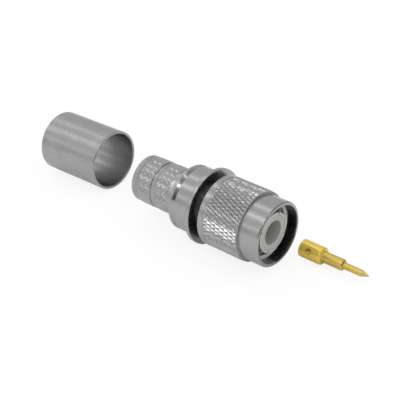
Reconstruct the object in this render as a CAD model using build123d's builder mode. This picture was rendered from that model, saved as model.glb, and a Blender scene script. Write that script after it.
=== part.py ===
"""Threaded coaxial crimp plug for thick cable, laid out as a set: crimp ferrule, plug and pin contact.

The plug lies along X with its mating end towards +X. The origin is on its axis, at the reference
plane where the mating jack stops. The ferrule lies behind the plug and the pin contact in front
of it, on the same flat surface.
"""

import os
from math import cos, pi, radians, sin

from build123d import *

# Mating end, measured forwards from the reference plane
dielectric_bore_radius = 2.425
outer_contact_reach = 5.3
outer_contact_radius = 3.98
outer_contact_wall = 0.4
outer_contact_tip_chamfer = 0.06
slot_count = 4
slot_width = 0.3
slot_length = 4.2
slot_first_angle = 68
insulator_setback = 0.05

# Pin contact, lying in front of the plug
pin_rear_x = 7.124
pin_y = 7.256
pin_barrel_radius = 1.756
pin_barrel_length = 4.85
pin_barrel_chamfer = 0.28
pin_barrel_wall = 0.556
pin_barrel_bore_depth = 4.0
pin_barrel_bore_chamfer = 0.15
pin_middle_radius = 1.114
pin_middle_length = 4.5
pin_middle_chamfer = 0.25
pin_tip_radius = 0.66
pin_tip_length = 5.3
pin_cone_length = 1.6
pin_end_radius = 0.08
pin_seat_clearance = 0.02
pin_barrel_clearance = 0.04
pin_pocket_depth = 5.26
sight_hole_radius = 0.5
sight_hole_offset = 2.07
sight_hole_angle = 155

# Cable end: crimp stem with a plain end, two knurled bands and a groove in front of the first band
stem_bore_radius = 3.75
stem_bore_chamfer = 0.3
stem_wall = 1.14
stem_length = 11.72
stem_edge_chamfer = 0.12
stem_plain_end = 1.65
stem_rear_band = 3.3
stem_groove_width = 0.42
stem_plain_middle = 0.85
stem_front_band = 3.2
stem_groove_depth = 0.25
stem_knurl_depth = 0.2
stem_knurl_count = 43
stem_knurl_ring_count = 5
cable_stop_step = 1.15
cable_stop_thickness = 0.7

# Collar, flange and neck of the turned rear body
collar_step = 1.755
collar_length = 5.12
collar_edge_chamfer = 0.12
collar_groove_offset = 0.53
collar_groove_width = 0.92
collar_groove_slope = 0.25
collar_groove_depth = 0.35
flange_setback = 8.92
flange_step = 0.64
flange_rim = 0.86
flange_edge_chamfer = 0.15
contact_seat_step = 0.15
contact_seat_depth = 3.0
neck_wall = 0.62
neck_front_setback = 1.0
neck_edge_chamfer = 0.2

# Flat sealing ring
gasket_thickness = 1.2
gasket_clearance = 0.05
gasket_to_thread = 0.35

# Retaining ring, and its hold in the grooves of the neck and the nut
ring_thickness = 0.8
ring_width = 1.0
ring_hold_in_neck = 0.4
ring_gap = 1.2
ring_setback = 6.3
ring_radial_clearance = 0.1
ring_side_clearance = 0.03
nut_float = 0.3
nut_running_clearance = 0.07

# Coupling nut
nut_reach = 6.4
nut_length = 14.0
nut_mouth_wall = 0.765
nut_mouth_step = 0.6
nut_mouth_chamfer = 0.1
nut_mouth_depth = 1.65
nut_front_chamfer = 0.45
nut_front_collar = 4.2
nut_rim_width = 1.6
nut_rear_chamfer = 0.42
thread_lead_depth = 0.45
thread_length = 4.8
thread_relief_step = 0.55
thread_relief_length = 1.6
nut_knurl_step = 0.595
nut_knurl_depth = 0.34
nut_knurl_count = 57
nut_knurl_ring_count = 8
knurl_groove_width = 0.3
knurl_groove_depth = 0.15

# Crimp ferrule, lying behind the plug and turned a little
ferrule_wall = 0.55
ferrule_length = 15.635
ferrule_over_stem = 0.977
ferrule_edge_chamfer = 0.12
ferrule_front_x = -38.871
ferrule_front_y = 2.361
ferrule_turn = 2.26

# Radii that follow from the sizes above, from the pin outwards
pin_barrel_bore_radius = pin_barrel_radius - pin_barrel_wall
insulator_radius = outer_contact_radius - outer_contact_wall
contact_seat_radius = outer_contact_radius + contact_seat_step
neck_radius = contact_seat_radius + neck_wall
nut_bore_radius = neck_radius + nut_running_clearance
thread_minor_radius = neck_radius + gasket_to_thread
thread_relief_radius = thread_minor_radius + thread_relief_step
nut_mouth_radius = thread_minor_radius + nut_mouth_step
nut_front_radius = nut_mouth_radius + nut_mouth_wall
nut_knurl_radius = nut_front_radius + nut_knurl_step
flange_radius = nut_knurl_radius + flange_step
stem_knurl_radius = stem_bore_radius + stem_wall
collar_radius = stem_knurl_radius + collar_step
cable_stop_radius = stem_bore_radius - cable_stop_step
ferrule_inner_radius = stem_knurl_radius + ferrule_over_stem
ferrule_outer_radius = ferrule_inner_radius + ferrule_wall

# Places along the axis, from the reference plane at zero
insulator_front = outer_contact_reach - insulator_setback
pin_web_rear = -pin_middle_length
pin_length = pin_barrel_length + pin_middle_length + pin_tip_length
neck_front = -neck_front_setback
contact_rear = neck_front - contact_seat_depth
flange_front = -flange_setback
flange_rear = flange_front - flange_rim
collar_rear = flange_rear - collar_length
stem_rear = collar_rear - stem_length
insulator_rear = pin_web_rear - pin_pocket_depth
cable_stop_rear = insulator_rear - cable_stop_thickness
nut_front = nut_reach
nut_rear = nut_front - nut_length
surface_z = -flange_radius


def knurl_band(rear, front, ring_count, knurl_count, peak_radius, depth):
    """Make a solid band whose outside is a diamond knurl, with both ends turned down.

    Rings of points are spread along the band. On each ring high and low points alternate, and the
    next ring swaps them, so each high point is the tip of a pyramid whose four corners are low.
    """

    def knurl_point(ring, place):
        """Give the point at one place round one ring."""
        high = (ring + place) % 2 == 0 and 0 < ring < ring_count
        radius = peak_radius if high else peak_radius - depth
        angle = pi * place / knurl_count
        along = rear + (front - rear) * ring / ring_count
        return Vector(along, radius * cos(angle), radius * sin(angle))

    def end_face(ring):
        """Close the band with the flat face at one of its end rings."""
        corners = [knurl_point(ring, place) for place in range(2 * knurl_count)]
        return Face(Wire.make_polygon(corners, close=True))

    facets = [end_face(0), end_face(ring_count)]
    for ring in range(ring_count):
        for place in range(2 * knurl_count):
            first = knurl_point(ring, place)
            second = knurl_point(ring, place + 1)
            third = knurl_point(ring + 1, place + 1)
            fourth = knurl_point(ring + 1, place)
            if (ring + place) % 2 == 0:
                triangles = [(first, second, fourth), (second, third, fourth)]
            else:
                triangles = [(first, second, third), (first, third, fourth)]
            facets += [Face(Wire.make_polygon(triangle, close=True)) for triangle in triangles]
    return Solid(Shell(facets))


# Crimp ferrule: a plain tube with broken edges
ferrule_axis = Vector(-cos(radians(ferrule_turn)), -sin(radians(ferrule_turn)), 0)
ferrule_front_centre = Vector(ferrule_front_x, ferrule_front_y, surface_z + ferrule_outer_radius)
ferrule_plane = Plane(origin=ferrule_front_centre, z_dir=ferrule_axis)

with BuildPart() as crimp_ferrule:
    with BuildSketch(ferrule_plane):
        Circle(ferrule_outer_radius)
        Circle(ferrule_inner_radius, mode=Mode.SUBTRACT)
    extrude(amount=ferrule_length)
    chamfer(crimp_ferrule.edges(), ferrule_edge_chamfer)


# Rear body: knurled stem, grooved collar, flange and the neck that carries the nut
rear_band_rear = stem_rear + stem_plain_end
rear_band_front = rear_band_rear + stem_rear_band
stem_groove_front = rear_band_front + stem_groove_width
front_band_rear = stem_groove_front + stem_plain_middle
front_band_front = front_band_rear + stem_front_band
stem_plain_radius = stem_knurl_radius - stem_knurl_depth / 2
stem_root_radius = stem_knurl_radius - stem_groove_depth
collar_groove_rear = collar_rear + collar_groove_offset
collar_groove_front = collar_groove_rear + collar_groove_width
collar_groove_radius = collar_radius - collar_groove_depth
ring_inner_radius = neck_radius - ring_hold_in_neck
ring_outer_radius = ring_inner_radius + ring_width
neck_groove_rear = -ring_setback - ring_thickness / 2 - nut_float - ring_side_clearance
neck_groove_front = -ring_setback + ring_thickness / 2 + nut_float + ring_side_clearance
neck_groove_radius = ring_inner_radius - ring_radial_clearance

rear_body_outline = [
    (stem_rear, 0),
    (stem_rear, stem_plain_radius - stem_edge_chamfer),
    (stem_rear + stem_edge_chamfer, stem_plain_radius),
    (rear_band_rear, stem_plain_radius),
    (rear_band_rear, stem_root_radius),
    (stem_groove_front, stem_root_radius),
    (stem_groove_front, stem_plain_radius),
    (front_band_rear, stem_plain_radius),
    (front_band_rear, stem_root_radius),
    (front_band_front, stem_root_radius),
    (front_band_front, stem_plain_radius),
    (collar_rear, stem_plain_radius),
    (collar_rear, collar_radius - collar_edge_chamfer),
    (collar_rear + collar_edge_chamfer, collar_radius),
    (collar_groove_rear, collar_radius),
    (collar_groove_rear + collar_groove_slope, collar_groove_radius),
    (collar_groove_front - collar_groove_slope, collar_groove_radius),
    (collar_groove_front, collar_radius),
    (flange_rear, collar_radius),
    (flange_rear, flange_radius - flange_edge_chamfer),
    (flange_rear + flange_edge_chamfer, flange_radius),
    (flange_front - flange_edge_chamfer, flange_radius),
    (flange_front, flange_radius - flange_edge_chamfer),
    (flange_front, neck_radius),
    (neck_groove_rear, neck_radius),
    (neck_groove_rear, neck_groove_radius),
    (neck_groove_front, neck_groove_radius),
    (neck_groove_front, neck_radius),
    (neck_front - neck_edge_chamfer, neck_radius),
    (neck_front, neck_radius - neck_edge_chamfer),
    (neck_front, 0),
]
rear_body_bore = [
    (stem_rear, 0),
    (stem_rear, stem_bore_radius + stem_bore_chamfer),
    (stem_rear + stem_bore_chamfer, stem_bore_radius),
    (cable_stop_rear, stem_bore_radius),
    (cable_stop_rear, cable_stop_radius),
    (insulator_rear, cable_stop_radius),
    (insulator_rear, insulator_radius),
    (contact_rear, insulator_radius),
    (contact_rear, contact_seat_radius),
    (neck_front, contact_seat_radius),
    (neck_front, 0),
]
stem_bands = [(rear_band_rear, rear_band_front), (front_band_rear, front_band_front)]

with BuildPart() as rear_body:
    with BuildSketch(Plane.XY):
        with BuildLine():
            Polyline(*rear_body_outline, close=True)
        make_face()
    revolve(axis=Axis.X)
    for band_rear, band_front in stem_bands:
        add(
            knurl_band(
                band_rear,
                band_front,
                stem_knurl_ring_count,
                stem_knurl_count,
                stem_knurl_radius,
                stem_knurl_depth,
            )
        )
    with BuildSketch(Plane.XY):
        with BuildLine():
            Polyline(*rear_body_bore, close=True)
        make_face()
    revolve(axis=Axis.X, mode=Mode.SUBTRACT)


# Outer contact: the thin slotted sleeve that enters the jack, pressed into the neck
outer_contact_outline = [
    (contact_rear, insulator_radius),
    (contact_rear, contact_seat_radius),
    (neck_front, contact_seat_radius),
    (neck_front, outer_contact_radius),
    (outer_contact_reach - outer_contact_tip_chamfer, outer_contact_radius),
    (outer_contact_reach, outer_contact_radius - outer_contact_tip_chamfer),
    (outer_contact_reach, insulator_radius),
]

with BuildPart() as outer_contact:
    with BuildSketch(Plane.XY):
        with BuildLine():
            Polyline(*outer_contact_outline, close=True)
        make_face()
    revolve(axis=Axis.X)
    with BuildSketch(Plane.YZ.offset(outer_contact_reach)):
        with PolarLocations(outer_contact_radius, slot_count, start_angle=slot_first_angle):
            Rectangle(outer_contact_radius, slot_width)
    extrude(amount=-slot_length, mode=Mode.SUBTRACT)


# Insulator: takes the jack's dielectric in front and the pin contact behind its web
web_hole_radius = pin_middle_radius + pin_seat_clearance
barrel_hole_radius = pin_barrel_radius + pin_barrel_clearance
insulator_outline = [
    (insulator_rear, barrel_hole_radius),
    (insulator_rear, insulator_radius),
    (insulator_front, insulator_radius),
    (insulator_front, dielectric_bore_radius),
    (0, dielectric_bore_radius),
    (0, web_hole_radius),
    (pin_web_rear, web_hole_radius),
    (pin_web_rear, barrel_hole_radius),
]

with BuildPart() as insulator:
    with BuildSketch(Plane.XY):
        with BuildLine():
            Polyline(*insulator_outline, close=True)
        make_face()
    revolve(axis=Axis.X)


# Gasket: a flat ring round the outer contact, seated on the neck's front face
with BuildPart() as gasket:
    with BuildSketch(Plane.YZ.offset(neck_front)):
        Circle(neck_radius)
        Circle(outer_contact_radius + gasket_clearance, mode=Mode.SUBTRACT)
    extrude(amount=gasket_thickness)


# Retaining ring: a split ring, half in the neck's groove and half in the nut's
with BuildPart() as retaining_ring:
    with BuildSketch(Plane.YZ.offset(-ring_setback)):
        Circle(ring_outer_radius)
        Circle(ring_inner_radius, mode=Mode.SUBTRACT)
        with Locations((0, ring_outer_radius)):
            Rectangle(ring_gap, 2 * (ring_outer_radius - ring_inner_radius) + ring_gap, mode=Mode.SUBTRACT)
    extrude(amount=ring_thickness / 2, both=True)


# Coupling nut: smooth front collar, knurled grip and a smooth rear rim
collar_end = nut_front - nut_front_collar
knurl_front = collar_end - knurl_groove_width
nut_rim_front = nut_rear + nut_rim_width
knurl_groove_radius = nut_front_radius - knurl_groove_depth
mouth_end = nut_front - nut_mouth_depth
thread_front = mouth_end - thread_lead_depth
thread_rear = thread_front - thread_length
nut_shoulder = thread_rear - thread_relief_length
nut_groove_radius = ring_outer_radius + ring_radial_clearance
nut_groove_rear = -ring_setback - ring_thickness / 2 - ring_side_clearance
nut_groove_front = -ring_setback + ring_thickness / 2 + ring_side_clearance

nut_outline = [
    (nut_rear, 0),
    (nut_rear, nut_knurl_radius - nut_rear_chamfer),
    (nut_rear + nut_rear_chamfer, nut_knurl_radius),
    (nut_rim_front, nut_knurl_radius),
    (nut_rim_front, knurl_groove_radius),
    (collar_end, knurl_groove_radius),
    (collar_end, nut_front_radius),
    (nut_front - nut_front_chamfer, nut_front_radius),
    (nut_front, nut_front_radius - nut_front_chamfer),
    (nut_front, 0),
]
nut_bore = [
    (nut_rear, 0),
    (nut_rear, nut_bore_radius),
    (nut_groove_rear, nut_bore_radius),
    (nut_groove_rear, nut_groove_radius),
    (nut_groove_front, nut_groove_radius),
    (nut_groove_front, nut_bore_radius),
    (nut_shoulder, nut_bore_radius),
    (nut_shoulder, thread_relief_radius),
    (thread_rear, thread_relief_radius),
    (thread_rear, thread_minor_radius),
    (thread_front, thread_minor_radius),
    (mouth_end, nut_mouth_radius),
    (nut_front - nut_mouth_chamfer, nut_mouth_radius),
    (nut_front, nut_mouth_radius + nut_mouth_chamfer),
    (nut_front, 0),
]

with BuildPart() as coupling_nut:
    with BuildSketch(Plane.XY):
        with BuildLine():
            Polyline(*nut_outline, close=True)
        make_face()
    revolve(axis=Axis.X)
    add(
        knurl_band(
            nut_rim_front,
            knurl_front,
            nut_knurl_ring_count,
            nut_knurl_count,
            nut_knurl_radius,
            nut_knurl_depth,
        )
    )
    with BuildSketch(Plane.XY):
        with BuildLine():
            Polyline(*nut_bore, close=True)
        make_face()
    revolve(axis=Axis.X, mode=Mode.SUBTRACT)


# Pin contact: solder barrel with a sight hole, seat and slender tip
pin_middle_front = pin_barrel_length + pin_middle_length
pin_outline = [
    (0, pin_barrel_bore_radius + pin_barrel_bore_chamfer),
    (0, pin_barrel_radius),
    (pin_barrel_length - pin_barrel_chamfer, pin_barrel_radius),
    (pin_barrel_length, pin_barrel_radius - pin_barrel_chamfer),
    (pin_barrel_length, pin_middle_radius),
    (pin_middle_front - pin_middle_chamfer, pin_middle_radius),
    (pin_middle_front, pin_middle_radius - pin_middle_chamfer),
    (pin_middle_front, pin_tip_radius),
    (pin_length - pin_cone_length, pin_tip_radius),
    (pin_length, pin_end_radius),
    (pin_length, 0),
    (pin_barrel_bore_depth, 0),
    (pin_barrel_bore_depth, pin_barrel_bore_radius),
    (pin_barrel_bore_chamfer, pin_barrel_bore_radius),
]
pin_axis_z = surface_z + pin_barrel_radius
pin_plane = Plane(origin=(pin_rear_x, pin_y, pin_axis_z), x_dir=(1, 0, 0), z_dir=(0, 0, 1))
pin_axis = Axis((pin_rear_x, pin_y, pin_axis_z), (1, 0, 0))
sight_hole_direction = (0, cos(radians(sight_hole_angle)), sin(radians(sight_hole_angle)))
sight_hole_centre = (pin_rear_x + sight_hole_offset, pin_y, pin_axis_z)
sight_hole_plane = Plane(origin=sight_hole_centre, z_dir=sight_hole_direction)

with BuildPart() as center_contact:
    with BuildSketch(pin_plane):
        with BuildLine():
            Polyline(*pin_outline, close=True)
        make_face()
    revolve(axis=pin_axis)
    with BuildSketch(sight_hole_plane):
        Circle(sight_hole_radius)
    extrude(amount=2 * pin_barrel_radius, mode=Mode.SUBTRACT)


pieces = {
    "crimp_ferrule": crimp_ferrule,
    "rear_body": rear_body,
    "outer_contact": outer_contact,
    "insulator": insulator,
    "gasket": gasket,
    "retaining_ring": retaining_ring,
    "coupling_nut": coupling_nut,
    "center_contact": center_contact,
}

os.makedirs("parts", exist_ok=True)
for name, piece in pieces.items():
    piece.part.label = name
    export_step(piece.part, f"parts/{name}.step")
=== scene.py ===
import bpy
import numpy as np
from mathutils import Matrix, Vector


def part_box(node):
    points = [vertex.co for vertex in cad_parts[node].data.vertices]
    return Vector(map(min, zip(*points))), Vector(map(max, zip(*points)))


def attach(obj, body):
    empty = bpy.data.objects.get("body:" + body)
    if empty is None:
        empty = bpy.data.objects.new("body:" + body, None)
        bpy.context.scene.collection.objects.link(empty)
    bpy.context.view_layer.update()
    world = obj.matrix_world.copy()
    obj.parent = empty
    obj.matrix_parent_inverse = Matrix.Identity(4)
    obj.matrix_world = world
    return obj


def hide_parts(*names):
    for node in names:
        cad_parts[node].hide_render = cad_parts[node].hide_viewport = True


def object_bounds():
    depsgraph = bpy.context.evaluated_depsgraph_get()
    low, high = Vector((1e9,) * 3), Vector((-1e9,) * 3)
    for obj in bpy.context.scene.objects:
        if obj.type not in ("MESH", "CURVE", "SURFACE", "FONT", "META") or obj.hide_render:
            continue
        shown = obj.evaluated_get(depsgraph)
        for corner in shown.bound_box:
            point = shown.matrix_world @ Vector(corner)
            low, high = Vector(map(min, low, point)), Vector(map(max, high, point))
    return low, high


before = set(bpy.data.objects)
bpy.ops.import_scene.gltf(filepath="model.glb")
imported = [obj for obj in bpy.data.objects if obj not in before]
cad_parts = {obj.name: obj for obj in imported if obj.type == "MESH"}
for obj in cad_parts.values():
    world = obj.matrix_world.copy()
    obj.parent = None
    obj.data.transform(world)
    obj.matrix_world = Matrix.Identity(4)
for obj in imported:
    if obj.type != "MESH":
        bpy.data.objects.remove(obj)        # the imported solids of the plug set, their bodies and the record
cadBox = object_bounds()
mm = 0.001               # every size below is in millimetres, and meshes are made in metres
seam = 0.01              # a closed profile's last point stands this far from its first
beside = 0.05            # a plain row stands this far from the knurl or thread next to it


# Shader maths: a wire is one socket, and arithmetic on wires adds Math nodes
class Wire:
    def __init__(self, sheet, socket):
        self.sheet, self.socket = sheet, socket

    def out(self, name):                     # another output of the same node
        return Wire(self.sheet, self.socket.node.outputs[name])

    def maths(self, operation, *values):
        return self.sheet.add("ShaderNodeMath", {"operation": operation}, dict(enumerate(values)))

    def __add__(self, other):
        return self.maths("ADD", self, other)

    def __mul__(self, other):
        return self.maths("MULTIPLY", self, other)

    def __sub__(self, other):
        return self.maths("SUBTRACT", self, other)

    def __rsub__(self, other):
        return self.maths("SUBTRACT", other, self)

    def __pow__(self, power):
        return self.maths("POWER", self, power)

    __radd__ = __add__
    __rmul__ = __mul__


class Sheet:                                 # the node tree of one finish
    def __init__(self, tree):
        self.tree = tree
        tree.nodes.clear()

    def add(self, kind, settings, sockets, output=0):
        node = self.tree.nodes.new(kind)
        for name, value in settings.items():
            setattr(node, name, value)
        for name, value in sockets.items():
            if isinstance(value, Wire):
                self.tree.links.new(value.socket, node.inputs[name])
            else:
                node.inputs[name].default_value = value
        return Wire(self, node.outputs[output]) if len(node.outputs) else node

    def place(self, turn=0.0, centre=(0, 0, 0)):     # object coordinates, in millimetres from a centre
        coordinates = self.add("ShaderNodeTexCoord", {}, {}, "Object")
        scaled = {"Vector": coordinates, "Scale": (1 / mm,) * 3, "Rotation": (0, 0, turn)}
        return self.add("ShaderNodeMapping", {}, {**scaled, "Location": centre})

    def noise(self, vector, scale, detail=2.0, roughness=0.5):
        values = {"Vector": vector, "Scale": scale, "Detail": detail, "Roughness": roughness}
        return self.add("ShaderNodeTexNoise", {}, values)

    def between(self, value, low, high):     # 1 where the value lies between two numbers
        return value.maths("GREATER_THAN", value, low) * value.maths("LESS_THAN", value, high)

    def tint(self, amount, first, second):   # a colour between two, by a value from 0 to 1
        settings = {"data_type": "RGBA", "clamp_factor": True}
        colours = {0: amount, 6: first, 7: second}
        return self.add("ShaderNodeMix", settings, colours, 2)

    def bump(self, height, distance, strength=1.0):
        values = {"Height": height, "Distance": distance * mm, "Strength": strength}
        return self.add("ShaderNodeBump", {}, values)

    def surface(self, **sockets):
        names = {name.replace("_", " "): value for name, value in sockets.items()}
        shader = self.add("ShaderNodeBsdfPrincipled", {}, names)
        self.add("ShaderNodeOutputMaterial", {}, {"Surface": shader})


def swing(noise, amount):                    # how far a noise stands from its middle, times an amount
    return (noise - 0.5) * amount


def newFinish(name):
    material = bpy.data.materials.new(name)
    material.use_nodes = True
    return material, Sheet(material.node_tree)


# Turned metal: fine rings left by the tool follow each piece's own axis, on walls and on faces alike.
# A ring pattern is a noise of the place along the axis and the distance from it, and a little of the height.
nickel = {
    # the darkest colour here is painted shade, laid on the nut's mouth wall
    "colour": (0.365, 0.365, 0.36, 1), "clouded": (0.335, 0.335, 0.335, 1), "paintedShade": (0.1, 0.1, 0.1, 1),
    "matte": (0.62, 0.62, 0.62, 1), "rough": 0.27, "dulled": 0.8, "ringScale": 9.0,
}
satin = {
    "colour": (0.5, 0.5, 0.49, 1), "clouded": (0.45, 0.45, 0.45, 1), "matte": (0.5, 0.5, 0.5, 1),
    "rough": 0.42, "dulled": 0.8, "ringScale": 9.0,
}
gold = {
    "colour": (0.67, 0.5, 0.13, 1), "clouded": (0.6, 0.44, 0.1, 1), "matte": (0.78, 0.56, 0.11, 1),
    "rough": 0.29, "dulled": 0.4, "ringScale": 16.0,
}
bronze = {
    "colour": (0.5, 0.36, 0.17, 1), "clouded": (0.42, 0.29, 0.13, 1), "rough": 0.3, "ringScale": 9.0,
}
turnedMarks = {
    "ringDepth": 0.0005, "ringWander": 0.02, "ringSwing": 0.07, "ringShare": 0.75, "cloudScale": 0.45,
    "cloudContrast": 1.6, "cloudSwing": 0.06, "grainScale": 14.0, "grainSwing": 0.04,
}
# Places with a finish of their own, as stretches of the axis between two distances from it.
# Polish ends with the change in roughness: a rolled knurl is smoother, and a plain stem end is duller.
polish = {
    "stem's plain end": (-26.7, -24.97, 4.0, 5.0, 0.16),
    "stem's rear knurl": (-24.97, -21.67, 4.5, 5.0, -0.16),
    "stem's plain middle": (-21.3, -20.4, 4.5, 5.0, 0.1),
    "stem's front knurl": (-20.4, -17.2, 4.5, 5.0, -0.16),
    "stem behind the collar": (-17.2, -14.95, 4.5, 5.0, 0.06),
    "collar's groove": (-14.35, -13.5, 6.0, 6.64, -0.08),
    "gap behind the nut": (-8.93, -7.58, 4.0, 7.6, -0.04),
    "nut's knurl": (-5.95, 1.9, 6.5, 7.2, -0.16),
    "bevel before the knurl": (1.9, 2.25, 6.45, 6.9, 0.3),
}
# A painted shade is a dark colour laid on a stretch where the wall lies in shade, on the side of the axis
# that lies past a level in the direction given by two shares of Y and Z. A matte stretch has a colour of its
# own and is less of a metal.
paintedShadeStretches = {"mouth's wall": (4.22, 6.5, 5.3, 5.84, 0.971, -0.238, 1.1)}
threadMatte = {"thread": (-2.5, 4.21, 4.3, 5.72)}
tipMatte = {"sleeve's tip": (5.1, 5.4, 3.4, 4.1)}
barrelMatte = {"pin's barrel": (7.0, 12.05, 1.0, 1.9)}


def turnedMetal(name, look, axisCentre=(0, 0, 0), polish={}, paintedShadeStretches={}, mattes={}):
    marks = turnedMarks
    material, sheet = newFinish(name)
    point = sheet.place(0.0, axisCentre)
    parts = sheet.add("ShaderNodeSeparateXYZ", {}, {"Vector": point}, "X")
    across, up = parts.out("Y"), parts.out("Z")
    reach = (across * across + up * up) ** 0.5
    wander = up * marks["ringWander"]
    ringPlace = sheet.add("ShaderNodeCombineXYZ", {}, {"X": parts, "Y": reach, "Z": wander})
    rings = sheet.noise(ringPlace, look["ringScale"], 3.0, 0.6)
    clouds = sheet.noise(point, marks["cloudScale"], 3.0)
    grain = sheet.noise(point, marks["grainScale"])

    def stretch(rear, front, inner, outer):
        return sheet.between(parts, rear, front) * sheet.between(reach, inner, outer)

    colour = sheet.tint(0.5 + swing(clouds, marks["cloudContrast"]), look["clouded"], look["colour"])
    rough = look["rough"] + swing(rings, marks["ringSwing"]) + swing(clouds, marks["cloudSwing"])
    rough = rough + swing(grain, marks["grainSwing"])
    for *place, change in polish.values():
        rough = rough + stretch(*place) * change
    # Painted shade: a near-black colour on one side of a stretch, where the nut's mouth wall lies in shade
    for *place, sideY, sideZ, level in paintedShadeStretches.values():
        side = across * sideY + up * sideZ
        paintedShade = stretch(*place) * side.maths("GREATER_THAN", side, level)
        colour = sheet.tint(paintedShade, colour, look["paintedShade"])
    metallic = 1.0
    if mattes:
        dull = sum(stretch(*place) for place in mattes.values())
        colour = sheet.tint(dull, colour, look["matte"])
        metallic = 1 - dull * look["dulled"]
    share = marks["ringShare"]
    relief = sheet.bump(rings * share + grain * (1 - share), marks["ringDepth"])
    sheet.surface(Base_Color=colour, Metallic=metallic, Roughness=rough, Normal=relief)
    return material


# Drawn tube: faint streaks run along the tube over a coarse grain, and the bore is a little smoother
drawn = {
    "colour": (0.4, 0.4, 0.395, 1), "clouded": (0.29, 0.29, 0.29, 1), "rough": 0.34, "streakStretch": 0.06,
    "streakScale": 6.0, "streakSwing": 0.1, "cloudScale": 0.3, "cloudSwing": 0.08, "grainScale": 5.0,
    "grainContrast": 4.0, "grainSwing": 0.1, "boreRadius": 5.967, "boreSmoother": 0.03, "depth": 0.002,
    "grainShare": 0.7,
}


def drawnTube(name, look, axisCentre, turn):
    material, sheet = newFinish(name)
    point = sheet.place(turn, axisCentre)
    stretched = {"Vector": point, "Scale": (look["streakStretch"], 1.0, 1.0)}
    along = sheet.add("ShaderNodeMapping", {}, stretched)
    streaks = sheet.noise(along, look["streakScale"], 3.0, 0.6)
    clouds = sheet.noise(point, look["cloudScale"], 3.0)
    grain = sheet.noise(point, look["grainScale"], 3.0, 0.7)
    mottled = clouds + swing(grain, look["grainContrast"])
    colour = sheet.tint(mottled, look["clouded"], look["colour"])
    parts = sheet.add("ShaderNodeSeparateXYZ", {}, {"Vector": point}, "Y")
    reach = (parts * parts + parts.out("Z") * parts.out("Z")) ** 0.5
    bore = reach.maths("LESS_THAN", reach, look["boreRadius"])
    rough = look["rough"] + swing(streaks, look["streakSwing"]) + swing(clouds, look["cloudSwing"])
    rough = rough + swing(grain, look["grainSwing"]) - bore * look["boreSmoother"]
    share = look["grainShare"]
    relief = sheet.bump(streaks * (1 - share) + grain * share, look["depth"])
    sheet.surface(Base_Color=colour, Metallic=1.0, Roughness=rough, Normal=relief)
    return material


# Waxy fluoropolymer: off-white, faintly clouded, with the soft marks of its turning
plastic = {
    "colour": (0.415, 0.415, 0.41, 1), "clouded": (0.375, 0.375, 0.375, 1), "rough": 0.42, "index": 1.35,
    "cloudScale": 0.7, "cloudContrast": 1.4, "markScale": 7.0, "markSwing": 0.2, "markDepth": 0.004,
    "glowShare": 0.7, "glowReach": 1.2,
}


def waxyPlastic(name, look):
    material, sheet = newFinish(name)
    point = sheet.place()
    clouds = sheet.noise(point, look["cloudScale"], 3.0)
    marks = sheet.noise(point, look["markScale"], 3.0)
    colour = sheet.tint(0.5 + swing(clouds, look["cloudContrast"]), look["clouded"], look["colour"])
    sheet.surface(
        Base_Color=colour, Roughness=look["rough"] + swing(marks, look["markSwing"]), IOR=look["index"],
        Subsurface_Weight=look["glowShare"], Subsurface_Radius=(1, 1, 1),
        Subsurface_Scale=look["glowReach"] * mm, Normal=sheet.bump(marks, look["markDepth"]),
    )
    return material


# Silicone: dark, with a fine dusty speckle
rubber = {
    "colour": (0.035, 0.035, 0.037, 1), "dusty": (0.06, 0.06, 0.06, 1), "rough": 0.62, "speckleScale": 5.0,
    "speckleSwing": 0.2, "speckleDepth": 0.01,
}


def siliconeRubber(name, look):
    material, sheet = newFinish(name)
    point = sheet.place()
    speckle = sheet.noise(point, look["speckleScale"], 4.0, 0.6)
    colour = sheet.tint(speckle ** 2 * 2.0, look["colour"], look["dusty"])
    rough = look["rough"] + swing(speckle, look["speckleSwing"])
    sheet.surface(Base_Color=colour, Roughness=rough, Normal=sheet.bump(speckle, look["speckleDepth"]))
    return material


# Every turned piece is a profile in (place along X, distance from X) carried round its axis.
# The profile runs forwards on the outside and back on the inside, so that faces point outwards.
# Each corner is rounded by a curve that takes up at most a share of either side, and has a point before it
# and one after it. Both ends of the profile stay.
cornerShare, cornerLead, cornerPoints = 0.28, 1.6, 4


def softCorners(corners, radius):
    points = np.array(corners, float)
    corner = points[1:-1]
    back, ahead = points[:-2] - corner, points[2:] - corner
    backLength = np.linalg.norm(back, axis=1, keepdims=True)
    aheadLength = np.linalg.norm(ahead, axis=1, keepdims=True)
    reach = np.minimum(radius, cornerShare * np.minimum(backLength, aheadLength))
    start, end = corner + back / backLength * reach, corner + ahead / aheadLength * reach
    share = np.linspace(0, 1, cornerPoints)[None, :, None]
    curve = (1 - share) ** 2 * start[:, None] + share ** 2 * end[:, None]
    curve = curve + 2 * share * (1 - share) * corner[:, None]
    before = (corner + back / backLength * reach * cornerLead)[:, None]
    after = (corner + ahead / aheadLength * reach * cornerLead)[:, None]
    rounded = np.concatenate([before, curve, after], axis=1).reshape(-1, 2)
    return np.concatenate([points[:1], rounded, points[-1:]])


def gridFaces(rowCount, columnCount, closed=True):       # quads between neighbouring rows and columns
    rows = np.arange(rowCount if closed else rowCount - 1)
    row, column = np.meshgrid(rows, np.arange(columnCount), indexing="ij")
    nextRow, nextColumn = (row + 1) % rowCount, (column + 1) % columnCount
    corners = [(row, column), (row, nextColumn), (nextRow, nextColumn), (nextRow, column)]
    return np.stack([r * columnCount + c for r, c in corners], axis=-1)


def carriedRound(along, away, angles):       # points at (x, r cos, r sin) for each row and column
    along, away, angles = np.broadcast_arrays(along, away, angles)
    return np.stack([along, away * np.cos(angles), away * np.sin(angles)], axis=-1)


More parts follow.
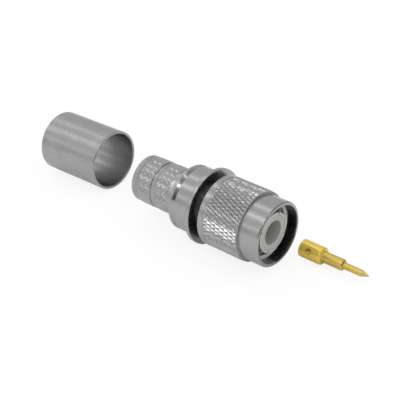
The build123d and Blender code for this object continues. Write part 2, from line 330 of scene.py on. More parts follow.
def newPiece(name, points, faceGroups, material, body, node, flat=None):
    mesh = bpy.data.meshes.new(name)
    allCorners = np.concatenate([faces.ravel() for faces in faceGroups])
    used, corners = np.unique(allCorners, return_inverse=True)       # points that no face uses are left out
    points, corners = np.asarray(points)[used], corners.ravel().astype(np.int32)
    sizes = np.concatenate([np.full(len(faces), faces.shape[1]) for faces in faceGroups])
    starts = (np.cumsum(sizes) - sizes).astype(np.int32)
    mesh.vertices.add(len(points))
    mesh.vertices.foreach_set("co", (points * mm).astype(np.float32).ravel())
    mesh.loops.add(len(corners))
    mesh.loops.foreach_set("vertex_index", corners)
    mesh.polygons.add(len(sizes))
    mesh.polygons.foreach_set("loop_start", starts)
    smooth = np.ones(len(sizes), bool) if flat is None else ~flat
    mesh.polygons.foreach_set("use_smooth", smooth)
    mesh.update(calc_edges=True)
    mesh.validate()
    mesh.materials.append(material)
    piece = bpy.data.objects.new(name, mesh)
    bpy.context.scene.collection.objects.link(piece)
    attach(piece, body)
    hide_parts(node)
    triangles = int((sizes - 2).sum())
    print(f"{name}: {len(points)} points, {triangles} triangles")


def axisAngles(columns, first=0.0):
    return first + 2 * np.pi * np.arange(columns) / columns


def tent(value):                             # 0 at whole numbers, 1 halfway between them
    return 1 - np.abs(2 * (value % 1) - 1)


def ease(value):                             # a smooth step from 0 to 1
    value = np.clip(value, 0, 1)
    return value * value * (3 - 2 * value)


# Diamond knurl: two families of V grooves, one right-handed and one left-handed, cross at equal slopes.
# The height is the lower of the two tents, cut off a little below its peak. Each diamond is lower by a small
# share that is drawn for it. The right-handed family is cut less deep, to a share of the other.
# At each end of the band the height runs out to a given level.
diamondDraws = (97, 89)                      # the draws repeat after this many grooves each way


def knurlHeight(rowCount, values, seed):
    starts, steps, cut, share = (values["knurl" + name] for name in ("Starts", "Steps", "Cut", "Share"))
    rearLevel, frontLevel = values["knurlRearLevel"], values["knurlFrontLevel"]
    row, column = np.meshgrid(np.arange(rowCount), np.arange(2 * starts * steps), indexing="ij")
    right, left = (column + row) / (2 * steps), (column - row) / (2 * steps)
    height = np.minimum(np.minimum(1 - share + share * tent(right), tent(left)), cut) / cut
    strikes = np.random.default_rng(seed).uniform(1 - values["knurlUneven"], 1, diamondDraws)
    rightGroove = np.floor(right).astype(int) % diamondDraws[0]
    leftGroove = np.floor(left).astype(int) % diamondDraws[1]
    height = height * strikes[rightGroove, leftGroove]
    fromRear = ease(np.arange(rowCount) / (values["knurlRunOut"] * steps))[:, None]
    fromFront = fromRear[::-1]
    height = rearLevel + (height - rearLevel) * fromRear
    return frontLevel + (height - frontLevel) * fromFront


def creasedTriangles(quads, height):         # splits each quad along the diagonal that a crease follows
    flatHeight = height.ravel()
    a, b, c, d = (quads[..., k].ravel() for k in range(4))
    alongMain = np.abs(flatHeight[a] - flatHeight[c]) < np.abs(flatHeight[b] - flatHeight[d])
    main = np.stack([a, b, c, a, c, d], axis=-1)
    other = np.stack([a, b, d, b, c, d], axis=-1)
    return np.where(alongMain[:, None], main, other).reshape(-1, 3)


# Rows of a profile with their radial lift, carried round: the points, then smooth quads on plain rows, flat
# walls at a knurl's ends and flat triangles on the knurl, and which of these faces are flat
def turning(profile, lift, columns, knurled, closed=True):
    away = profile[:, 1:2] + lift
    points = carriedRound(profile[:, 0:1], away, axisAngles(columns)[None, :])
    quads = gridFaces(len(profile), columns, closed)
    here, ahead = knurled[:len(quads)], np.roll(knurled, -1)[:len(quads)]
    plain = quads[~here & ~ahead].reshape(-1, 4)
    walls = quads[here ^ ahead].reshape(-1, 4)
    triangles = creasedTriangles(quads[here & ahead], away)
    flat = np.arange(len(plain) + len(walls) + len(triangles)) >= len(plain)
    return points.reshape(-1, 3), [plain, walls, triangles], flat


def rowJoint(fine, coarse):                  # triangles from a row of points to one with a third as many
    first, second, third, nextFirst = fine[0::3], fine[1::3], fine[2::3], np.roll(fine[0::3], -1)
    nextCoarse = np.roll(coarse, -1)
    corners = [
        (first, second, coarse), (second, nextCoarse, coarse), (second, third, nextCoarse),
        (third, nextFirst, nextCoarse),
    ]
    return np.concatenate([np.stack(triangle, axis=-1) for triangle in corners])


# Coupling nut
nut = {
    "rimWidth": 1.6, "knurlDepth": 0.28, "knurlStarts": 57, "knurlPitch": 2.08, "knurlSteps": 6,
    "knurlCut": 0.8, "knurlShare": 0.75, "knurlUneven": 0.1, "knurlSeed": 7, "knurlRunOut": 0.35,
    "knurlRearLevel": 0.8, "knurlFrontLevel": 0.6, "knurlBevel": 0.12, "frontCollar": 4.2,
    "frontRadius": 6.465, "frontChamfer": 0.24, "rearChamfer": 0.42, "mouthRadius": 5.7, "mouthDepth": 2.2,
    "mouthChamfer": 0.1, "threadRadius": 5.1, "threadDepth": 0.44, "threadPitch": 0.907,
    "threadLength": 4.55, "threadLead": 0.3, "threadRowsPerTurn": 12, "threadFlank": 1.25,
    "threadStart": 0.7, "threadEnd": 0.5, "reliefRadius": 5.65, "reliefLength": 1.6, "boreRadius": 4.82,
    "boreChamfer": 0.3, "ringGrooveRadius": 5.45, "ringSetback": 6.3, "ringGrooveHalf": 0.43,
    "corner": 0.09, "insideCorner": 0.05,
}


def makeNut(values, material):
    low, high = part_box("coupling_nut")
    rear, front, peak = low.x / mm, high.x / mm, high.z / mm
    rimFront = rear + values["rimWidth"]
    collarEnd = front - values["frontCollar"]
    knurlFront = collarEnd - values["knurlBevel"]
    root = peak - values["knurlDepth"]
    mouthEnd = front - values["mouthDepth"]
    threadFront = mouthEnd - values["threadLead"]
    threadRear = threadFront - values["threadLength"]
    shoulder = threadRear - values["reliefLength"]
    bore, ringGroove, boreChamfer = values["boreRadius"], values["ringGrooveRadius"], values["boreChamfer"]
    face, chamfer = values["frontRadius"], values["frontChamfer"]
    mouth, mouthChamfer = values["mouthRadius"], values["mouthChamfer"]
    thread, relief = values["threadRadius"], values["reliefRadius"]
    grooveRear = -values["ringSetback"] - values["ringGrooveHalf"]
    grooveFront = -values["ringSetback"] + values["ringGrooveHalf"]
    radius = values["corner"]
    rim = softCorners([
        (rear, bore + boreChamfer), (rear, peak - values["rearChamfer"]),
        (rear + values["rearChamfer"], peak), (rimFront - beside, peak), (rimFront, peak),
    ], radius)[:-1]
    knurlRows = int(round((knurlFront - rimFront) * 2 * values["knurlSteps"] / values["knurlPitch"])) + 1
    knurlPlaces = np.linspace(rimFront, knurlFront, knurlRows)
    knurlBand = np.stack([knurlPlaces, np.full(knurlRows, root)], axis=-1)
    collar = softCorners([
        (knurlFront + beside, root), (collarEnd, face), (front - chamfer, face), (front, face - chamfer),
        (front, mouth + mouthChamfer), (front - mouthChamfer, mouth), (mouthEnd, mouth),
        (threadFront, thread), (threadFront - beside, thread),
    ], radius)
    threadTurns = (values["threadLength"] - 2 * beside) / values["threadPitch"]
    threadRows = int(round(threadTurns * values["threadRowsPerTurn"]))
    threadPlaces = np.linspace(threadFront - 2 * beside, threadRear + beside, threadRows)
    threadBand = np.stack([threadPlaces, np.full(threadRows, thread)], axis=-1)
    inside = softCorners([
        (threadRear + seam, thread), (threadRear, relief), (shoulder, relief), (shoulder, bore),
        (grooveFront, bore), (grooveFront, ringGroove), (grooveRear, ringGroove), (grooveRear, bore),
        (rear + boreChamfer, bore), (rear, bore + boreChamfer - seam),
    ], values["insideCorner"])
    # The rim and knurl have many columns, and the collar and the inside have a third of them
    columns = 2 * values["knurlStarts"] * values["knurlSteps"]
    fewer = columns // 3
    outside, within = np.concatenate([rim, knurlBand]), np.concatenate([collar, threadBand, inside])
    knurlLift, threadLift = np.zeros((len(outside), columns)), np.zeros((len(within), fewer))
    knurlLift[len(rim):] = knurlHeight(knurlRows, values, values["knurlSeed"]) * values["knurlDepth"]
    # The thread is one right-handed groove: its depth is a tent of the place less the angle in turns,
    # clipped flat at the groove's floor and faded out at both ends
    angle = axisAngles(fewer)[None, :]
    turns = threadPlaces[:, None] / values["threadPitch"] - angle / (2 * np.pi)
    started = ease((threadFront - threadPlaces) / values["threadStart"])
    ended = ease((threadPlaces - threadRear) / values["threadEnd"])
    shape = np.clip(tent(turns) * values["threadFlank"], 0, 1)
    groove = values["threadDepth"] * shape * (started * ended)[:, None]
    threadLift[len(collar):len(collar) + threadRows] = groove
    knurled = np.arange(len(outside)) >= len(rim)
    points, faces, flat = turning(outside, knurlLift, columns, knurled, closed=False)
    morePoints, moreFaces, moreFlat = turning(
        within, threadLift, fewer, np.zeros(len(within), bool), closed=False,
    )
    # Two rows of triangles join the halves, in front at the knurl's end and behind at the rim's bore
    start, count = len(points), len(points) + len(morePoints)
    frontJoint = rowJoint(np.arange(start - columns, start), np.arange(start, start + fewer))
    rearJoint = rowJoint(np.arange(columns), np.arange(count - fewer, count))[:, ::-1]
    jointFlat = [np.zeros(len(rearJoint), bool), np.ones(len(frontJoint), bool)]
    newPiece(
        "couplingNut", np.concatenate([points, morePoints]),
        faces + [group + start for group in moreFaces] + [rearJoint, frontJoint],
        material, "nut", "coupling_nut", np.concatenate([flat, moreFlat] + jointFlat),
    )


# Rear body: knurled stem, collar with a round groove, flange, and the neck inside the nut
rearBody = {
    "stemRadius": 4.89, "stemBore": 3.75, "plainRadius": 4.79, "stemEdge": 0.12, "plainEnd": 1.65,
    "stemBoreChamfer": 0.3, "rearBand": 3.3, "grooveWidth": 0.42, "grooveDepth": 0.25, "grooveRamp": 0.04,
    "plainMiddle": 0.85, "frontBand": 3.2, "knurlDepth": 0.11, "knurlStarts": 43, "knurlSteps": 4,
    "knurlPitch": 1.3, "knurlCut": 0.9, "knurlShare": 0.7, "knurlUneven": 0.05, "knurlSeed": 11,
    "knurlRunOut": 0.35, "knurlRearLevel": 0.5, "knurlFrontLevel": 0.5, "collarRadius": 6.645,
    "collarLength": 5.12, "collarEdge": 0.12, "collarGroovePlace": 0.53, "collarGrooveWidth": 0.92,
    "collarGrooveDepth": 0.5, "collarGrooveSlant": 0.62, "collarGrooveRamp": 0.1, "flangeRim": 0.86,
    "flangeSetback": 8.92, "flangeChamfer": 0.1, "neckRadius": 4.75, "neckFront": -1.0, "neckChamfer": 0.2,
    "neckGrooveRadius": 4.25, "neckGrooveRear": -7.03, "neckGrooveFront": -5.57, "seatRadius": 4.13,
    "seatDepth": 3.0, "insulatorRadius": 3.58, "insulatorRear": -9.76, "cableStop": 2.6,
    "cableStopThickness": 0.7, "corner": 0.07,
}


def makeRearBody(values, material):
    low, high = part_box("rear_body")
    flangeRadius = high.z / mm
    flangeFront = -values["flangeSetback"]
    flangeRear = flangeFront - values["flangeRim"]
    collarRear = flangeRear - values["collarLength"]
    stemRear = low.x / mm
    root, plain = values["stemRadius"] - values["knurlDepth"], values["plainRadius"]
    rearBandRear = stemRear + values["plainEnd"]
    rearBandFront = rearBandRear + values["rearBand"]
    grooveFront = rearBandFront + values["grooveWidth"]
    grooveFloor = values["stemRadius"] - values["grooveDepth"]
    frontBandRear = grooveFront + values["plainMiddle"]
    frontBandFront = frontBandRear + values["frontBand"]
    edge, bevel = values["collarEdge"], values["flangeChamfer"]
    collar, neck = values["collarRadius"], values["neckRadius"]
    neckFront, neckChamfer = values["neckFront"], values["neckChamfer"]
    neckGroove, neckGrooveRear = values["neckGrooveRadius"], values["neckGrooveRear"]
    neckGrooveFront = values["neckGrooveFront"]
    seat, seatRear = values["seatRadius"], neckFront - values["seatDepth"]
    liner, stop = values["insulatorRadius"], values["cableStop"]
    stemBore, boreChamfer, ramp = values["stemBore"], values["stemBoreChamfer"], values["grooveRamp"]
    insulatorRear = values["insulatorRear"]
    stopRear = insulatorRear - values["cableStopThickness"]
    radius = values["corner"]
    bands = []
    for bandRear, bandFront in [(rearBandRear, rearBandFront), (frontBandRear, frontBandFront)]:
        rows = int(round((bandFront - bandRear) * 2 * values["knurlSteps"] / values["knurlPitch"])) + 1
        places = np.linspace(bandRear, bandFront, rows)
        bands.append(np.stack([places, np.full(rows, root)], axis=-1))
    end = softCorners([
        (stemRear, stemBore + boreChamfer), (stemRear, plain - values["stemEdge"]),
        (stemRear + values["stemEdge"], plain), (rearBandRear - beside, plain),
    ], radius)
    between = softCorners([
        (rearBandFront + ramp, plain), (rearBandFront + 2 * ramp, grooveFloor),
        (grooveFront - beside, grooveFloor), (grooveFront, plain), (frontBandRear - beside, plain),
    ], radius)
    # The collar's groove has a sloping rear wall, a short floor and a steep front wall
    slantRear = collarRear + values["collarGroovePlace"]
    slantFront = slantRear + values["collarGrooveWidth"]
    slantFloor = collar - values["collarGrooveDepth"]
    outside = softCorners([
        (frontBandFront + beside, plain), (collarRear, plain), (collarRear, collar - edge),
        (collarRear + edge, collar), (slantRear, collar),
        (slantRear + values["collarGrooveSlant"], slantFloor),
        (slantFront - values["collarGrooveRamp"], slantFloor), (slantFront, collar), (flangeRear, collar),
        (flangeRear, flangeRadius - bevel), (flangeRear + bevel, flangeRadius),
        (flangeFront - bevel, flangeRadius), (flangeFront, flangeRadius - bevel), (flangeFront, neck),
        (neckGrooveRear, neck), (neckGrooveRear, neckGroove), (neckGrooveFront, neckGroove),
        (neckGrooveFront, neck), (neckFront - neckChamfer, neck), (neckFront, neck - neckChamfer),
        (neckFront, seat), (seatRear, seat), (seatRear, liner), (insulatorRear, liner),
        (insulatorRear, stop), (stopRear, stop), (stopRear, stemBore), (stemRear + boreChamfer, stemBore),
        (stemRear, stemBore + boreChamfer - seam),
    ], radius)
    profile = np.concatenate([end, bands[0], between, bands[1], outside])
    columns = 2 * values["knurlStarts"] * values["knurlSteps"]
    lift = np.zeros((len(profile), columns))
    knurled = np.zeros(len(profile), bool)
    firstRows = [len(end), len(end) + len(bands[0]) + len(between)]
    for number, (firstRow, band) in enumerate(zip(firstRows, bands)):
        height = knurlHeight(len(band), values, values["knurlSeed"] + number)
        lift[firstRow:firstRow + len(band)] = height * values["knurlDepth"]
        knurled[firstRow:firstRow + len(band)] = True
    points, faces, flat = turning(profile, lift, columns, knurled)
    newPiece("rearBody", points, faces, material, "plug_set", "rear_body", flat)


# Plain turned rings: a closed profile carried round the axis
def makeRing(name, corners, radius, columns, material, node, turn=0.0, centre=(0, 0, 0)):
    profile = softCorners(corners, radius)
    points = carriedRound(profile[:, 0:1], profile[:, 1:2], axisAngles(columns)[None, :]).reshape(-1, 3)
    spin = np.array(Matrix.Rotation(turn, 3, "Z"))
    points = points @ spin.T + np.array(centre)
    quads = gridFaces(len(profile), columns).reshape(-1, 4)
    newPiece(name, points, [quads], material, "plug_set", node)


def tube(rear, front, inner, outer, edge):   # a wall with chamfered edges, closed in the middle of its bore
    middle = (rear + front) / 2
    return [
        (middle, inner), (rear + edge, inner), (rear, inner + edge), (rear, outer - edge),
        (rear + edge, outer), (front - edge, outer), (front, outer - edge), (front, inner + edge),
        (front - edge, inner), (middle + seam, inner),
    ]


ferrule = {"wall": 0.55, "length": 15.635, "edge": 0.12, "turn": 2.26, "corner": 0.07, "columns": 192}


def makeFerrule(values, material, centre, turn):
    low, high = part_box("crimp_ferrule")
    outer = (high.z - low.z) / 2 / mm
    half = values["length"] / 2
    wall = tube(-half, half, outer - values["wall"], outer, values["edge"])
    makeRing(
        "crimpFerrule", wall, values["corner"], values["columns"], material, "crimp_ferrule",
        turn, centre,
    )


insulator = {
    "radius": 3.58, "bore": 2.425, "webHole": 1.134, "barrelHole": 1.796, "webRear": -4.5, "seamDepth": 2,
    "corner": 0.12, "columns": 144,
}


def makeInsulator(values, material):
    low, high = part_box("insulator")
    rear, front = low.x / mm, high.x / mm
    outer, bore, webRear = values["radius"], values["bore"], values["webRear"]
    barrelHole, webHole, start = values["barrelHole"], values["webHole"], rear + values["seamDepth"]
    corners = [
        (start, barrelHole), (rear, barrelHole), (rear, outer), (front, outer), (front, bore), (0, bore),
        (0, webHole), (webRear, webHole), (webRear, barrelHole), (start + seam, barrelHole),
    ]
    makeRing(
        "insulatorLiner", corners, values["corner"], values["columns"], material, "insulator",
    )


gasket = {"inner": 4.03, "edge": 0.15, "corner": 0.12, "columns": 144}


def makeGasket(values, material):
    low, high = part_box("gasket")
    wall = tube(low.x / mm, high.x / mm, values["inner"], high.z / mm, values["edge"])
    makeRing("sealingRing", wall, values["corner"], values["columns"], material, "gasket")


# Outer contact: a thin sleeve whose front is slit into four springs
sleeve = {
    "radius": 3.98, "wall": 0.4, "seatRadius": 4.13, "seatRear": -4.0, "seatFront": -1.0,
    "tipChamfer": 0.06, "mouthChamfer": 0.04, "rearChamfer": 0.02, "corner": 0.06, "slits": 4,
    "slitWidth": 0.3, "slitLength": 4.2, "firstSlit": 68, "cellsPerSpring": 40, "cellsPerSlit": 2,
}


def makeSleeve(values, material):
    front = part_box("outer_contact")[1].x / mm
    outer, inner = values["radius"], values["radius"] - values["wall"]
    slitEnd, tip, mouth = front - values["slitLength"], values["tipChamfer"], values["mouthChamfer"]
    rear, rearChamfer, seat = values["seatRear"], values["rearChamfer"], values["seatRadius"]
    outside = softCorners([
        (rear, inner + rearChamfer), (rear, seat), (values["seatFront"], seat),
        (values["seatFront"], outer), (slitEnd, outer),
    ], values["corner"])
    nose = softCorners([
        (slitEnd, outer), (front - tip, outer), (front, outer - tip), (front, inner + mouth),
        (front - mouth, inner), (slitEnd, inner),
    ], values["corner"])
    profile = np.concatenate([outside[:-1], nose, [(rear + rearChamfer, inner)]])
    outerRow = len(outside) - 1
    innerRow = outerRow + len(nose) - 1
    halfSlit = np.arcsin(values["slitWidth"] / 2 / outer)
    period = 2 * np.pi / values["slits"]
    slitColumns = np.linspace(-halfSlit, halfSlit, values["cellsPerSlit"] + 1)[:-1]
    springColumns = np.linspace(halfSlit, period - halfSlit, values["cellsPerSpring"] + 1)[:-1]
    oneSpring = np.concatenate([slitColumns, springColumns])
    firstAngles = np.radians(values["firstSlit"]) + period * np.arange(values["slits"])
    angles = (firstAngles[:, None] + oneSpring[None, :]).ravel()
    columns = len(angles)
    points = carriedRound(profile[:, 0:1], profile[:, 1:2], angles[None, :]).reshape(-1, 3)
    quads = gridFaces(len(profile), columns)
    inSlit = (np.arange(columns) % len(oneSpring)) < values["cellsPerSlit"]
    rows = np.arange(len(profile))
    cut = ((rows >= outerRow) & (rows < innerRow))[:, None] & inSlit[None, :]
    kept = quads[~cut]
    slitStarts = np.arange(values["slits"]) * len(oneSpring)
    slitStops = slitStarts + values["cellsPerSlit"]
    # Each side of a slit is a fan of triangles round a point in the middle of the wall's section
    wallColumns = np.concatenate([slitStarts, slitStops])
    middles = carriedRound((slitEnd + front) / 2, (inner + outer) / 2, angles[wallColumns])
    wallRows = np.arange(outerRow, innerRow + 1)
    rim = wallRows[None, :] * columns + wallColumns[:, None]
    nextRim = np.roll(rim, -1, axis=1)
    middle = np.broadcast_to(len(points) + np.arange(len(wallColumns))[:, None], rim.shape)
    turned = np.arange(len(wallColumns))[:, None] < len(slitStarts)  # a slit's first side is turned round
    fans = np.stack([middle, np.where(turned, nextRim, rim), np.where(turned, rim, nextRim)], axis=-1)
    points = np.concatenate([points, middles])
    floorColumns = np.flatnonzero(inSlit)
    floors = np.stack([
        outerRow * columns + floorColumns, outerRow * columns + floorColumns + 1,
        innerRow * columns + floorColumns + 1, innerRow * columns + floorColumns,
    ], axis=-1)
    groups = [kept, floors, fans.reshape(-1, 3)]
    flat = np.concatenate([np.full(len(group), number > 0) for number, group in enumerate(groups)])
    newPiece(
        "outerContact", points, groups, material, "plug_set", "outer_contact", flat,
    )


# Pin contact: solder barrel with a drilled sight hole, thicker middle and pointed tip
pin = {
    "barrelRadius": 1.756, "barrelLength": 4.85, "barrelChamfer": 0.28, "boreRadius": 1.2, "boreDepth": 4.0,
    "boreChamfer": 0.15, "boreMiddle": 0.02, "barrelEdge": 0.06, "middleRadius": 1.114,
    "middleLength": 4.5, "middleChamfer": 0.25, "tipRadius": 0.66, "coneLength": 1.6, "endRadius": 0.08,
    "endLength": 0.03, "holeRadius": 0.6, "holePlace": 2.07, "holeAngle": 155, "holeBreak": 0.07,
    "holeInnerBreak": 0.03, "innerPatchHalf": 0.69, "innerMargin": 0.2, "outerMargin": 0.15,
    "columns": 96, "patch": 16, "corner": 0.07,
}


def makePin(values, material):
    low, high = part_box("center_contact")
    rear, length = low.x / mm, (high.x - low.x) / mm
    axisY, axisZ = (low.y + high.y) / 2 / mm, (low.z + high.z) / 2 / mm
    barrel, bore, edge = values["barrelRadius"], values["boreRadius"], values["boreChamfer"]
    barrelEnd = values["barrelLength"]
    middleEnd = barrelEnd + values["middleLength"]
    half, columns = values["patch"] // 2, values["columns"]
    step = 2 * np.pi / columns
    hole, depth, barrelEdge = values["holePlace"], values["boreDepth"], values["barrelEdge"]
    outerHalf, innerHalf = barrel * np.sin(half * step), values["innerPatchHalf"]
    outerMargin, innerMargin = outerHalf + values["outerMargin"], innerHalf + values["innerMargin"]
    middle, bevel, end = values["middleRadius"], values["middleChamfer"], values["endRadius"]
    chamfer, tip = values["barrelChamfer"], values["tipRadius"]

    def patchRows(first, last, radius):      # even rows along a straight wall, for the hole to be cut in
        return np.stack([np.linspace(first, last, 2 * half + 1), np.full(2 * half + 1, radius)], axis=-1)

    inside = softCorners([
        (depth, values["boreMiddle"]), (depth, bore), (hole + innerMargin, bore),
    ], values["corner"])
    mouth = softCorners([
        (hole - innerMargin, bore), (edge, bore), (0, bore + edge), (0, barrel - barrelEdge),
        (barrelEdge, barrel), (hole - outerMargin, barrel),
    ], values["corner"])
    ahead = softCorners([
        (hole + outerMargin, barrel), (barrelEnd - chamfer, barrel), (barrelEnd, barrel - chamfer),
        (barrelEnd, middle), (middleEnd - bevel, middle), (middleEnd, middle - bevel), (middleEnd, tip),
        (length - values["coneLength"], tip), (length - values["endLength"], end), (length, end / 2),
    ], values["corner"])
    innerPatch = patchRows(hole + innerHalf, hole - innerHalf, bore)
    outerPatch = patchRows(hole - outerHalf, hole + outerHalf, barrel)
    profile = np.concatenate([inside, innerPatch, mouth, outerPatch, ahead])
    holeAngle = np.radians(values["holeAngle"])
    angles = axisAngles(columns, holeAngle - np.pi)
    points = carriedRound(profile[:, 0:1], profile[:, 1:2], angles[None, :]).reshape(-1, 3)
    poles = np.array([(depth, 0, 0), (length, 0, 0)])
    quads = gridFaces(len(profile), columns, closed=False)
    # Each patch of the grid is opened, and its border is joined to the round rim of the hole
    innerFirst, outerFirst = len(inside), len(inside) + len(innerPatch) + len(mouth)
    middleColumn, cells = columns // 2, np.arange(2 * half + 1)
    kept = np.ones(quads.shape[:2], bool)
    for firstRow in (innerFirst, outerFirst):
        kept[firstRow:firstRow + 2 * half, middleColumn - half:middleColumn + half] = False

    def border(rows):                        # the points round a patch, from its first row on
        sides = middleColumn - half + cells
        lowSide = rows[0] * columns + sides
        rightSide = rows * columns + sides[-1]
        highSide = rows[-1] * columns + sides[::-1]
        leftSide = rows[::-1] * columns + sides[0]
        return np.concatenate([lowSide[:-1], rightSide[:-1], highSide[:-1], leftSide[:-1]])

    outerBorder = border(outerFirst + cells)
    innerBorder = border(innerFirst + cells[::-1])
    forwards = np.array([1, 0, 0])
    radial = np.array([0, np.cos(holeAngle), np.sin(holeAngle)])
    sideways = np.array([0, -np.sin(holeAngle), np.cos(holeAngle)])

    def rim(around, circle, surface):        # a circle about the drill's axis, laid on a round wall
        turn = np.arctan2(points[around][:, 0] - hole, points[around] @ sideways)
        across, along = circle * np.cos(turn), circle * np.sin(turn)
        away = np.sqrt(surface ** 2 - across ** 2)[:, None]
        return away * radial + across[:, None] * sideways + (hole + along)[:, None] * forwards

    size, rounded, innerBreak = values["holeRadius"], values["holeBreak"], values["holeInnerBreak"]
    loops = [
        rim(outerBorder, size + rounded * 2.2, barrel), rim(outerBorder, size + rounded, barrel),
        rim(outerBorder, size + rounded * 0.3, barrel - rounded * 0.3),
        rim(outerBorder, size, barrel - rounded), rim(innerBorder, size, bore + 2 * innerBreak),
        rim(innerBorder, size + innerBreak, bore),
    ]
    firstLoop = len(points) + len(poles)
    count = len(outerBorder)
    loopPoints = [firstLoop + count * number + np.arange(count) for number in range(len(loops))]
    chain = [outerBorder] + loopPoints + [innerBorder]
    strips = [
        np.stack([first, np.roll(first, -1), np.roll(second, -1), second], axis=-1)
        for first, second in zip(chain[:-1], chain[1:])
    ]
    ring = np.arange(columns)
    nextRing, lastRow = (ring + 1) % columns, (len(profile) - 1) * columns
    startPole = np.full(columns, len(points))
    startFan = np.stack([startPole, nextRing, ring], axis=-1)
    endFan = np.stack([lastRow + ring, lastRow + nextRing, startPole + 1], axis=-1)
    allPoints = np.concatenate([points, poles] + loops) + np.array([rear, axisY, axisZ])
    newPiece(
        "pinContact", allPoints, [quads[kept]] + strips + [startFan, endFan], material,
        "plug_set", "center_contact",
    )


print("finishes")
ferruleLow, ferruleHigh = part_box("crimp_ferrule")
ferruleCentre = tuple((a + b) / 2 / mm for a, b in zip(ferruleLow, ferruleHigh))
ferruleTurn = np.radians(ferrule["turn"])
pinLow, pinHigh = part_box("center_contact")
pinCentre = (0, -(pinLow.y + pinHigh.y) / 2 / mm, -(pinLow.z + pinHigh.z) / 2 / mm)
spin = Matrix.Rotation(-ferruleTurn, 3, "Z")
tubeCentre = tuple(-(spin @ Vector(ferruleCentre)))
turnedNickel = turnedMetal("turned nickel", nickel, polish=polish, paintedShadeStretches=paintedShadeStretches, mattes=threadMatte)
sleeveNickel = turnedMetal("satin nickel", satin, mattes=tipMatte)
tubeNickel = drawnTube("drawn tube nickel", drawn, tubeCentre, -ferruleTurn)
pinGold = turnedMetal("gold plating", gold, pinCentre, mattes=barrelMatte)
linerPlastic = waxyPlastic("waxy fluoropolymer", plastic)
sealRubber = siliconeRubber("dark silicone", rubber)
ringBronze = turnedMetal("spring bronze", bronze)

print("turned pieces")
makeNut(nut, turnedNickel)
makeRearBody(rearBody, turnedNickel)
makeSleeve(sleeve, sleeveNickel)
makeInsulator(insulator, linerPlastic)
makeGasket(gasket, sealRubber)
makeFerrule(ferrule, tubeNickel, ferruleCentre, ferruleTurn)
makePin(pin, pinGold)

# The retaining ring is hidden in the nut, so its solid stays and takes a finish
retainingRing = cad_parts["retaining_ring"]
for place in retainingRing.material_slots:
    place.material = ringBronze

print("floor, light and camera")
studio = {
    "floorColour": (0.95, 0.95, 0.95, 1), "floorHalf": 2.5, "whiteInView": 0.85, "whiteInMetal": 0.2,
    "shade": 0.3, "shadePlace": (9, 5), "shadeReach": 9,
    "skyColour": (1, 1, 1, 1), "skyForDiffuse": 0.85, "skyInMetal": 0.84, "horizonDip": 0.16,
    "horizonWidth": 0.3, "aheadDip": 0.42, "aheadFrom": 0.2, "aheadTo": 0.55, "aheadHorizonDip": 0.25,
}


def raysSeen(sheet):                         # two masks: the camera's own rays, and mirrored ones
    rays = sheet.add("ShaderNodeLightPath", {}, {}, "Is Camera Ray")
    mirrored = rays.maths("MAXIMUM", rays.out("Is Glossy Ray"), rays.out("Is Transmission Ray"))
    return rays, mirrored


# Part of the floor's white is its own, so shadows stay faint. In reflections a painted shadow darkens it just
# ahead of the nut, a bell curve of the distance from a place there.
def makeFloor(values):
    height, half = cadBox[0][2], values["floorHalf"]
    corners = [(-half, -half, height), (half, -half, height), (half, half, height), (-half, half, height)]
    mesh = bpy.data.meshes.new("floor")
    mesh.from_pydata(corners, [], [(0, 1, 2, 3)])
    material, sheet = newFinish("white floor")
    camera, mirrored = raysSeen(sheet)
    parts = sheet.add("ShaderNodeSeparateXYZ", {}, {"Vector": sheet.place()}, "X")
    east, north = parts - values["shadePlace"][0], parts.out("Y") - values["shadePlace"][1]
    bell = parts.maths("EXPONENT", (east * east + north * north) * (-1 / values["shadeReach"] ** 2))
    # Painted shadow: in reflections the floor's colour is darkened towards black by the bell
    shaded = sheet.tint(mirrored * bell * values["shade"], values["floorColour"], (0, 0, 0, 1))
    paper = sheet.add("ShaderNodeBsdfDiffuse", {}, {"Color": shaded})
    white = sheet.add("ShaderNodeEmission", {}, {"Color": (1, 1, 1, 1), "Strength": 1.0})
    share = camera * values["whiteInView"] + mirrored * values["whiteInMetal"] * (1 - bell)
    mixed = sheet.add("ShaderNodeMixShader", {}, {0: share, 1: paper, 2: white})
    sheet.add("ShaderNodeOutputMaterial", {}, {"Surface": mixed})
    mesh.materials.append(material)
    floor = bpy.data.objects.new("floor", mesh)
    bpy.context.scene.collection.objects.link(floor)


# The sky is white to the camera, and softer as light. In reflections it is a little grey, with a darker
# band at the horizon, a bell curve of the direction's height, and darker ahead of the plug, a smooth step
# along X.
def makeSky(values):
    world = bpy.data.worlds.new("studio")
    bpy.context.scene.world = world
    world.use_nodes = True
    sheet = Sheet(world.node_tree)
    direction = sheet.add("ShaderNodeTexCoord", {}, {}, "Generated")
    height = sheet.add("ShaderNodeSeparateXYZ", {}, {"Vector": direction}, "Z")
    dip = height.maths("EXPONENT", height * height * (-1 / values["horizonWidth"] ** 2))
    span = {"interpolation_type": "SMOOTHSTEP"}
    limits = {"Value": height.out("X"), "From Min": values["aheadFrom"], "From Max": values["aheadTo"]}
    ahead = sheet.add("ShaderNodeMapRange", span, limits)
    darker = values["aheadDip"] + dip * values["aheadHorizonDip"]
    inMetal = values["skyInMetal"] - dip * values["horizonDip"] - ahead * darker
    camera, mirrored = raysSeen(sheet)
    strength = camera + mirrored * inMetal + (1 - camera - mirrored) * values["skyForDiffuse"]
    light = sheet.add("ShaderNodeBackground", {}, {"Color": values["skyColour"], "Strength": strength})
    sheet.add("ShaderNodeOutputWorld", {}, {"Surface": light})


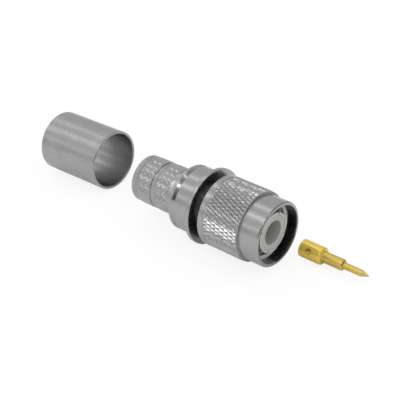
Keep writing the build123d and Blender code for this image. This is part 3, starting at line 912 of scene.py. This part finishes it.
# Long soft strips hang parallel to the plug: each is placed by its angle round X, from +Y towards +Z,
# and by its middle along X. Two short bright ones ahead make the glints on edges that face forwards, and a
# small one above lights the cells of the nut's knurl.
strips = {
    "back strip": {"angle": 79, "middle": -0.3, "width": 0.075, "length": 0.9, "glow": 0.9},
    "top strip": {"angle": 118, "middle": -0.3, "width": 0.075, "length": 0.9, "glow": 1.1},
    "side strip": {"angle": 156, "middle": -0.3, "width": 0.06, "length": 0.9, "glow": 0.7},
    "back glint": {"angle": 84, "middle": 0.45, "width": 0.05, "length": 0.4, "glow": 2.4},
    "top glint": {"angle": 124, "middle": 0.45, "width": 0.05, "length": 0.4, "glow": 5.0},
    "cell glint": {"angle": 128, "middle": -0.02, "width": 0.26, "length": 0.1, "glow": 1.4},
}
stripDistance = 0.45


def makeStrip(name, values):
    angle = np.radians(values["angle"])
    light = bpy.data.lights.new(name, "AREA")
    light.shape = "RECTANGLE"
    light.size, light.size_y = values["length"], values["width"]
    light.energy = 4 * values["length"] * values["width"] * values["glow"]   # the glow is its brightness
    lamp = bpy.data.objects.new(name, light)
    bpy.context.scene.collection.objects.link(lamp)
    away = Vector((0, np.cos(angle), np.sin(angle)))
    along = Vector((1, 0, 0))
    across = away.cross(along)
    turn = Matrix((along, across, away)).transposed().to_4x4()
    turn.translation = away * stripDistance + along * values["middle"]
    lamp.matrix_world = turn


# The camera's place, its axes and its lens come from the fit to the photograph's outlines
view = {
    "place": (90.202, -117.507, 91.037), "right": (0.75260496, 0.65847231, 0),
    "back": (0.56900778, -0.65035093, 0.50326316), "lens": 83.809, "sensor": 36,
}


def makeCamera(values):
    camera = bpy.data.cameras.new("camera")
    camera.lens, camera.sensor_width, camera.sensor_fit = values["lens"], values["sensor"], "HORIZONTAL"
    camera.clip_start = 0.001
    holder = bpy.data.objects.new("camera", camera)
    bpy.context.scene.collection.objects.link(holder)
    right, back = Vector(values["right"]), Vector(values["back"])
    turn = Matrix((right, back.cross(right), back)).transposed().to_4x4()
    turn.translation = Vector(values["place"]) * mm
    holder.matrix_world = turn
    bpy.context.scene.camera = holder


makeFloor(studio)
makeSky(studio)
for name, values in strips.items():
    makeStrip(name, values)
makeCamera(view)
bpy.context.scene.view_settings.view_transform = "Standard"

bpy.context.view_layer.update()
